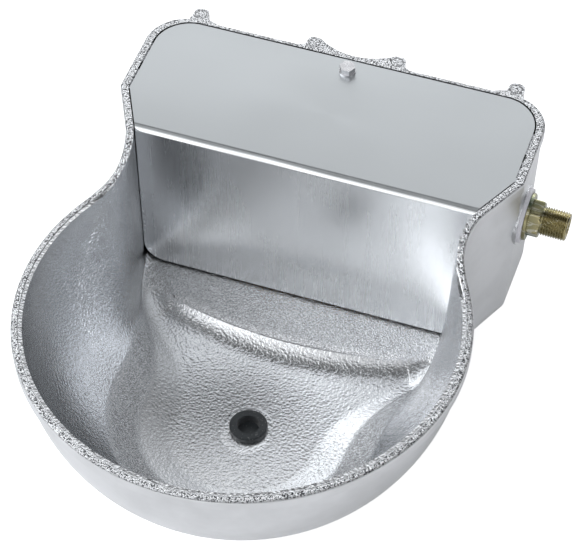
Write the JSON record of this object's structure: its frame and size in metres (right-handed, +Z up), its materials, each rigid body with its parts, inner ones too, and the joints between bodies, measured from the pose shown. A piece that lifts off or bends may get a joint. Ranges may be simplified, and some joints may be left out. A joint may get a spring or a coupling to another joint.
{
  "type": "livestock drinking bowl",
  "caption": "Wall-mounted cast drinking bowl for livestock, with a covered float-valve tank, side water inlet and floor drain plug.",
  "frame": {"origin": "on the wall plane, midway between the two wall bolt holes", "axes": "+Z up, +Y into the wall, +X towards the water inlet side"},
  "size_m": [0.3302, 0.3956, 0.1649],
  "materials": {
    "cast_aluminium": "as cast, glossy with a hammered texture, linished rim",
    "stainless_sheet": "fine vertical brushing",
    "zinc_steel": "bright zinc",
    "brass": "machined",
    "nylon": "natural white",
    "black_rubber": "moulded",
    "grey_rubber": "moulded",
    "valve_plastic": "moulded",
    "lever_plastic": "moulded",
    "float_plastic": "moulded",
    "stainless_wire": "drawn",
    "strainer_mesh": "woven wire"
  },
  "bodies": {
    "tank": {"bowl_casting": "cast_aluminium", "outer_washer": "nylon", "inlet_nipple": "brass", "inlet_strainer": "strainer_mesh", "inner_washer": "grey_rubber", "lock_nut": "brass", "valve_body": "valve_plastic", "valve_seat": "valve_plastic", "lever_pin": "stainless_wire", "split_pin": "stainless_wire"},
    "cover": {"cover_sheet": "stainless_sheet"},
    "cover_screw": {"cover_bolt": "zinc_steel", "cover_bolt_washer": "zinc_steel"},
    "piston": {"valve_piston": "valve_plastic", "piston_seal": "black_rubber"},
    "float_lever": {"lever_arm": "lever_plastic", "float_rod": "stainless_wire", "float_nuts": "stainless_wire", "float_body": "float_plastic"},
    "plug": {"drain_plug": "black_rubber"}
  },
  "joints": [
    {"name": "float_swing", "type": "hinge", "parent": "tank", "child": "float_lever", "pos_m": [0.09591, -0.0715, -0.03907], "axis": [0, 1, 0], "range_deg": [0, 25]},
    {"name": "piston_slide", "type": "slide", "parent": "tank", "child": "piston", "axis": [0.9994, 0, -0.0349], "range_m": [0, 0.0048]},
    {"name": "cover_lift", "type": "slide", "parent": "tank", "child": "cover", "axis": [0, -0.0419, 0.9991], "range_m": [0, 0.15]},
    {"name": "cover_screw_out", "type": "slide", "parent": "cover", "child": "cover_screw", "axis": [0, -0.0419, 0.9991], "range_m": [0, 0.03]},
    {"name": "plug_pull", "type": "slide", "parent": "tank", "child": "plug", "axis": [0, 0, 1], "range_m": [0, 0.08]}
  ],
  "couplings": [
    {"joint": "piston_slide", "follows": "float_swing", "m_per_rad": 0.011}
  ]
}
